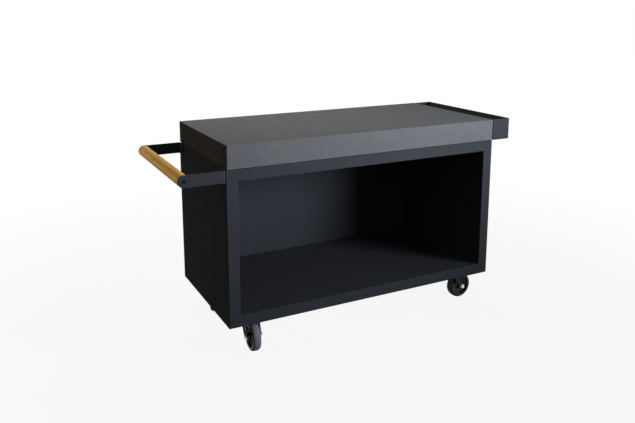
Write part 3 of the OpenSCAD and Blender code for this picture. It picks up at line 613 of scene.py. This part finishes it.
def soften_edges(node, width, weld_below):
    """Rounds the sharp edges of a node with modifiers, so that they catch the light."""
    piece = frame["nodes"][node]
    weld = piece.modifiers.new("Weld", "WELD")
    weld.merge_threshold = weld_below
    bevel = piece.modifiers.new("Rounded edges", "BEVEL")
    bevel.width = width
    bevel.segments = 2
    bevel.limit_method = "ANGLE"
    bevel.angle_limit = math.radians(30)
    weighted = piece.modifiers.new("Weighted normals", "WEIGHTED_NORMAL")
    weighted.keep_sharp = True


# Operators

class PREPTABLE_OT_sheet_steel(bpy.types.Operator):
    """Powder coats the cabinet, the tray, the handle arms and the hidden rails"""

    bl_idname = "prep_table.sheet_steel"
    bl_label = "Sheet Steel"

    def execute(self, context):
        look = context.scene.prep_table_finishes
        coat_nodes(POWDER_COATED, powder_coat("black_powder_coat", look.coat))
        return {"FINISHED"}


class PREPTABLE_OT_worktop(bpy.types.Operator):
    """Gives the worktop its ceramic and the pads under it their rubber"""

    bl_idname = "prep_table.worktop"
    bl_label = "Ceramic Worktop"

    def execute(self, context):
        look = context.scene.prep_table_finishes
        coat_nodes(CERAMIC, dark_ceramic("dark_ceramic", look.ceramic_cool, look.ceramic_warm))
        coat_nodes(["worktop_pads"], rubber("pad_rubber", look.pad))
        return {"FINISHED"}


class PREPTABLE_OT_handle_bar(bpy.types.Operator):
    """Turns the wooden bar of the handle, with eased ends and bored for its inserts"""

    bl_idname = "prep_table.handle_bar"
    bl_label = "Wooden Bar"

    def execute(self, context):
        sizes = context.scene.prep_table_sizes
        look = context.scene.prep_table_finishes
        low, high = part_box("handle_bar")
        middle = (low + high) / 2
        radius = (high.x - low.x) / 2
        half = (high.y - low.y) / 2
        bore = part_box("handle_bar_inserts")
        bore_r = (bore[1].x - bore[0].x) / 2 + sizes.insert_room
        lathe = Lathe(sizes.turned_steps)
        lathe.turn(rounded([(bore_r, -half), (radius, -half), (radius, half), (bore_r, half)],
                           sizes.bar_ease, steps=6))
        wood = oiled_wood("oiled_wood", look.wood_light, look.wood_dark)
        bar = new_piece("wooden_bar", lathe.vertices, lathe.faces, wood)
        to_axis(bar, middle, (0, 1, 0))
        stand_in(bar, "handle_bar", "cabinet")
        coat_nodes(["handle_bar_inserts"], machined_brass("insert_brass", look.brass))
        return {"FINISHED"}


class PREPTABLE_OT_caster_frames(bpy.types.Operator):
    """Lacquers the plates, forks and pedals of the casters and rounds the pedals' edges"""

    bl_idname = "prep_table.caster_frames"
    bl_label = "Caster Plates and Forks"

    def execute(self, context):
        sizes = context.scene.prep_table_sizes
        pedals = [f"{corner}_brake_pedal" for corner in BRAKED]
        frames = [f"{corner}_{part}" for corner in CORNERS for part in ("caster_plate", "fork")]
        material = lacquer("black_lacquer", context.scene.prep_table_finishes.caster)
        coat_nodes(frames + pedals, material)
        for pedal in pedals:
            soften_edges(pedal, sizes.edge, sizes.edge_weld)
        return {"FINISHED"}


class PREPTABLE_OT_wheels(bpy.types.Operator):
    """Turns the plastic wheel cores and the rubber tyres"""

    bl_idname = "prep_table.wheels"
    bl_label = "Wheels and Tyres"

    def execute(self, context):
        sizes = context.scene.prep_table_sizes
        look = context.scene.prep_table_finishes
        plastic = moulded_plastic("wheel_plastic", look.core)
        wall = rubber("tyre_rubber", look.tyre)
        # The treads get a lighter copy of the tyre rubber, a painted highlight.
        tread = rubber("tread_rubber", look.tread)
        for corner in CORNERS:
            self.core(corner, sizes, plastic)
            self.tyre(corner, sizes, wall, tread)
        return {"FINISHED"}

    def core(self, corner, sizes, material):
        """Hub, web and a rim with rounded lips."""
        node = f"{corner}_wheel"
        _, hub_half, bore, lip_r = spread_along(node, *axle(corner))
        _, tyre_half, _, _ = spread_along(f"{corner}_tyre", *axle(corner))
        seat_r = lip_r - sizes.lip_h
        foot_r = seat_r - sizes.rim_foot
        rim_half = tyre_half - sizes.rim_inset
        lip_half = rim_half - sizes.lip_t
        web = sizes.web_t / 2
        hub = sizes.hub_r
        half = [
            (bore, hub_half), (hub - sizes.hub_ease, hub_half), (hub, hub_half - sizes.hub_ease),
            (hub + sizes.hub_draft, web + sizes.hub_foot), (hub + sizes.hub_foot, web),
            (foot_r, web), (foot_r + sizes.rim_rise, web + sizes.rim_rise),
            (seat_r - sizes.rim_t, rim_half), (lip_r, rim_half),
            (lip_r, lip_half), (seat_r, lip_half)]
        lathe = Lathe(sizes.turned_steps)
        lathe.turn(rounded(mirrored(half[::-1]), sizes.core_ease, steps=5))
        piece = new_piece(f"{corner}_wheel_core", lathe.vertices, lathe.faces, material)
        to_axis(piece, *axle(corner))
        stand_in(piece, node, f"{corner}_rolling_wheel")

    def tyre(self, corner, sizes, wall, tread):
        """Crowned tread with a fine moulding line, round shoulders and flat sides."""
        node = f"{corner}_tyre"
        _, half_w, seat_r, tread_r = spread_along(node, *axle(corner))
        lip_r = seat_r + sizes.lip_h
        seat_half = half_w - sizes.rim_inset - sizes.lip_t
        shoulder, crown = sizes.shoulder_r, sizes.crown_r
        shoulder_steps, crown_steps = 8, 6
        across = half_w - shoulder
        outward = math.sqrt((crown - shoulder) ** 2 - across ** 2)
        meeting = math.atan2(across, outward)
        half = [(seat_r, seat_half), (lip_r, seat_half), (lip_r, half_w - sizes.wall_inset)]
        for k in range(shoulder_steps + 1):
            lean = math.pi / 2 + (meeting - math.pi / 2) * k / shoulder_steps
            half.append((tread_r - crown + outward + shoulder * math.cos(lean),
                         across + shoulder * math.sin(lean)))
        for k in range(1, crown_steps):
            lean = meeting * (1 - k / crown_steps)
            half.append((tread_r - crown + crown * math.cos(lean), crown * math.sin(lean)))
        half += [(tread_r - sizes.parting_h, sizes.parting_foot), (tread_r, sizes.parting_top)]
        lathe = Lathe(sizes.turned_steps)
        lathe.turn(mirrored(half))
        piece = new_piece(f"{corner}_rubber_tyre", lathe.vertices, lathe.faces, wall)
        piece.data.materials.append(tread)
        # Faces near the tread take the lighter rubber, the painted highlight.
        rolled = tread_r - sizes.tread_highlight_depth
        for face in piece.data.polygons:
            if face.center.xy.length > rolled:
                face.material_index = 1
        to_axis(piece, *axle(corner))
        stand_in(piece, node, f"{corner}_rolling_wheel")


class PREPTABLE_OT_axle_fasteners(bpy.types.Operator):
    """Makes the axle bolts with chamfered heads and nuts, washers and threads"""

    bl_idname = "prep_table.axle_fasteners"
    bl_label = "Axle Bolts"

    def execute(self, context):
        sizes = context.scene.prep_table_sizes
        zinc = zinc_plate("bright_zinc", context.scene.prep_table_finishes.zinc)
        for corner in CORNERS:
            self.bolt(corner, sizes, zinc)
        coat_nodes([f"{corner}_axle_sleeve" for corner in CORNERS], zinc)
        coat_nodes([f"{corner}_brake_pin" for corner in BRAKED], zinc)
        coat_nodes(("swivel_kingpins", "swivel_balls", "rivet_nuts", "caster_weld_nuts"), zinc)
        return {"FINISHED"}

    def bolt(self, corner, sizes, material):
        """Head, nut, two washers and a shank that is threaded at its end."""
        node = f"{corner}_axle_bolt"
        low, high, _, _ = spread_along(node, *axle(corner))
        radius = sizes.axle_d / 2
        flats = sizes.axle_flats
        seat = sizes.axle_seat
        nut_high = -(seat + sizes.washer_t)
        nut_low = nut_high - sizes.nut_h
        head_low = high - sizes.head_h
        lathe = Lathe(sizes.turned_steps)
        lathe.turn(hexagon_outline(flats, head_low, high, radius),
                   hexagonal(flats, head_low, high, chamfer_high=True))
        lathe.turn(hexagon_outline(flats, nut_low, nut_high, radius),
                   hexagonal(flats, nut_low, nut_high, chamfer_low=True, chamfer_high=True))
        for base in (seat, nut_high):
            top = base + sizes.washer_t
            lathe.turn(rounded([(radius, base), (sizes.washer_r, base), (sizes.washer_r, top),
                                (radius, top)], sizes.washer_ease))
        thread_top = nut_low + sizes.thread_run
        shank_top = high - sizes.head_cover
        shank = [(AXIS_R, low), (radius - sizes.point_w, low)]
        shank += threaded(radius, low + sizes.point_h, thread_top, sizes.thread_pitch)
        shank += [(radius, thread_top), (radius, shank_top), (AXIS_R, shank_top)]
        lathe.turn(shank)
        piece = new_piece(f"{corner}_axle_fastener", lathe.vertices, lathe.faces, material)
        to_axis(piece, *axle(corner))
        stand_in(piece, node, f"{corner}_swivel")


class PREPTABLE_OT_caster_bolts(bpy.types.Operator):
    """Makes the bolts that hold the caster plates, with chamfered hexagon heads"""

    bl_idname = "prep_table.caster_bolts"
    bl_label = "Caster Bolts"

    def execute(self, context):
        sizes = context.scene.prep_table_sizes
        zinc = bpy.data.materials["bright_zinc"]
        low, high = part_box("caster_bolts")
        radius = sizes.bolt_d / 2
        flats = sizes.bolt_flats
        head_top = low.z + sizes.bolt_head_h
        lathe = Lathe(sizes.bolt_steps)
        for x, y in self.places():
            first = len(lathe.vertices)
            lathe.turn(hexagon_outline(flats, low.z, head_top, AXIS_R),
                       hexagonal(flats, low.z, head_top, chamfer_low=True))
            lathe.turn([(AXIS_R, head_top), (radius, head_top), (radius, high.z),
                        (AXIS_R, high.z)])
            lathe.vertices[first:] = [(x + dx, y + dy, z) for dx, dy, z in lathe.vertices[first:]]
        bolts = new_piece("caster_plate_bolts", lathe.vertices, lathe.faces, zinc)
        stand_in(bolts, "caster_bolts", "cabinet")
        return {"FINISHED"}

    def places(self):
        """Middles of the bolts, from the weld nuts over the four quarters of each plate."""
        nuts = [vertex.co for vertex in frame["nodes"]["caster_weld_nuts"].data.vertices]
        places = []
        for corner in CORNERS:
            low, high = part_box(f"{corner}_caster_plate")
            middle = (low + high) / 2
            near = [p for p in nuts if abs(p.x - middle.x) < high.x - low.x
                    and abs(p.y - middle.y) < high.y - low.y]
            for side_x, side_y in ((-1, -1), (-1, 1), (1, -1), (1, 1)):
                nut = [p for p in near if (p.x - middle.x) * side_x > 0
                       and (p.y - middle.y) * side_y > 0]
                xs, ys = [p.x for p in nut], [p.y for p in nut]
                places.append(((min(xs) + max(xs)) / 2, (min(ys) + max(ys)) / 2))
        return places


class PREPTABLE_OT_small_screws(bpy.types.Operator):
    """Blackens the small screws of the handle and the tray"""

    bl_idname = "prep_table.small_screws"
    bl_label = "Small Screws"

    def execute(self, context):
        material = black_oxide("black_oxide", context.scene.prep_table_finishes.screw)
        coat_nodes(("planter_tray_screws", "handle_bar_screws", "handle_foot_screws"), material)
        return {"FINISHED"}


class PREPTABLE_OT_stage(bpy.types.Operator):
    """Sets up the floor, the background, the lamps and the camera"""

    bl_idname = "prep_table.stage"
    bl_label = "Studio"

    def execute(self, context):
        studio = context.scene.prep_table_studio
        self.floor(studio)
        self.background(context.scene, studio)
        key = self.lamp("key", studio)
        key.data.color = studio.key_colour
        key.data.spread = studio.key_spread
        self.lamp("top", studio)
        low = self.lamp("low", studio)
        low.data.shape = "RECTANGLE"
        low.data.size_y = studio.low_width
        low.data.spread = studio.low_spread
        rear = self.lamp("rear", studio)
        rear.visible_glossy = False
        self.camera(context.scene, studio)
        context.scene.view_settings.view_transform = "Standard"
        return {"FINISHED"}

    def floor(self, studio):
        """A round floor: pale and shadowed near the table, white far off, dark as a light."""
        s = Shader(bpy.data.materials.new("studio_floor"))
        distance = s.add("ShaderNodeVectorMath", {"operation": "LENGTH"}, {0: s.place}, "Value")
        far = s.band(distance, studio.floor_near, studio.floor_far)
        glow = far * (1 - studio.floor_glow) + studio.floor_glow
        lit = s.add("ShaderNodeBsdfDiffuse", {}, {"Color": studio.floor})
        bounced = s.add("ShaderNodeBsdfDiffuse", {}, {"Color": studio.floor_bounce})
        white = s.add("ShaderNodeEmission", {}, {"Color": WHITE, "Strength": 1.0})
        shown = s.add("ShaderNodeMixShader", {}, {0: glow, 1: lit, 2: white})
        s.surface(s.add("ShaderNodeMixShader", {}, {0: s.seen(), 1: bounced, 2: shown}))
        turns = [2 * math.pi * k / studio.floor_steps for k in range(studio.floor_steps)]
        rim = [(studio.floor_r * math.cos(turned), studio.floor_r * math.sin(turned), 0)
               for turned in turns]
        floor = new_piece("floor", rim, [tuple(range(len(rim)))], s.owner)

    def background(self, scene, studio):
        """White to the camera, and a soft fill on the table."""
        s = Shader(bpy.data.worlds.new("studio_world"))
        strength = s.seen() * (1 - studio.fill) + studio.fill
        white = s.add("ShaderNodeBackground", {}, {"Color": WHITE, "Strength": strength})
        s.add("ShaderNodeOutputWorld", {}, {"Surface": white})
        scene.world = s.owner

    def lamp(self, name, studio):
        """A square area lamp, from the place, aim, size and power under its name."""
        place, aim, size, watts = (
            getattr(studio, f"{name}_{setting}") for setting in ("place", "aim", "size", "power"))
        data = bpy.data.lights.new(name, "AREA")
        data.shape = "SQUARE"
        data.size = size
        data.energy = watts
        lamp = bpy.data.objects.new(name, data)
        lamp.location = place
        lamp.visible_camera = False
        lamp.rotation_euler = (Vector(aim) - Vector(place)).to_track_quat("-Z", "Y").to_euler()
        bpy.context.scene.collection.objects.link(lamp)
        return lamp

    def camera(self, scene, studio):
        """The camera of the main view."""
        data = bpy.data.cameras.new("camera")
        data.sensor_width = SENSOR_W
        data.lens = studio.lens
        data.shift_y = studio.shift
        camera = bpy.data.objects.new("camera", data)
        camera.location = studio.camera_place
        camera.rotation_euler = (math.pi / 2 - studio.camera_tilt, 0.0, -studio.camera_turn)
        scene.collection.objects.link(camera)
        scene.camera = camera


# Panel and registration

STEPS = (
    PREPTABLE_OT_sheet_steel, PREPTABLE_OT_worktop, PREPTABLE_OT_handle_bar,
    PREPTABLE_OT_caster_frames, PREPTABLE_OT_wheels, PREPTABLE_OT_axle_fasteners,
    PREPTABLE_OT_caster_bolts, PREPTABLE_OT_small_screws, PREPTABLE_OT_stage,
)
GROUPS = {
    "prep_table_sizes": PREPTABLE_PG_sizes,
    "prep_table_finishes": PREPTABLE_PG_finishes,
    "prep_table_studio": PREPTABLE_PG_studio,
}


class PREPTABLE_PT_sidebar(bpy.types.Panel):
    """Lists the steps and the settings"""

    bl_idname = "PREPTABLE_PT_sidebar"
    bl_label = "Prep Table"
    bl_space_type = "VIEW_3D"
    bl_region_type = "UI"
    bl_category = "Prep Table"

    def draw(self, context):
        layout = self.layout
        for step in STEPS:
            layout.operator(step.bl_idname)
        for attribute, group in GROUPS.items():
            box = layout.box()
            for name in group.__annotations__:
                box.prop(getattr(context.scene, attribute), name)


def register():
    """Adds the settings, the steps and the panel to Blender."""
    for attribute, group in GROUPS.items():
        bpy.utils.register_class(group)
        setattr(bpy.types.Scene, attribute, PointerProperty(type=group))
    for step in STEPS:
        bpy.utils.register_class(step)
    bpy.utils.register_class(PREPTABLE_PT_sidebar)


def unregister():
    """Takes them away again."""
    bpy.utils.unregister_class(PREPTABLE_PT_sidebar)
    for step in reversed(STEPS):
        bpy.utils.unregister_class(step)
    for attribute, group in reversed(GROUPS.items()):
        delattr(bpy.types.Scene, attribute)
        bpy.utils.unregister_class(group)


def main():
    """Runs every step."""
    register()
    for step in STEPS:
        group, name = step.bl_idname.split(".")
        getattr(getattr(bpy.ops, group), name)()
    bpy.context.view_layer.update()


if __name__ == "__main__":
    main()
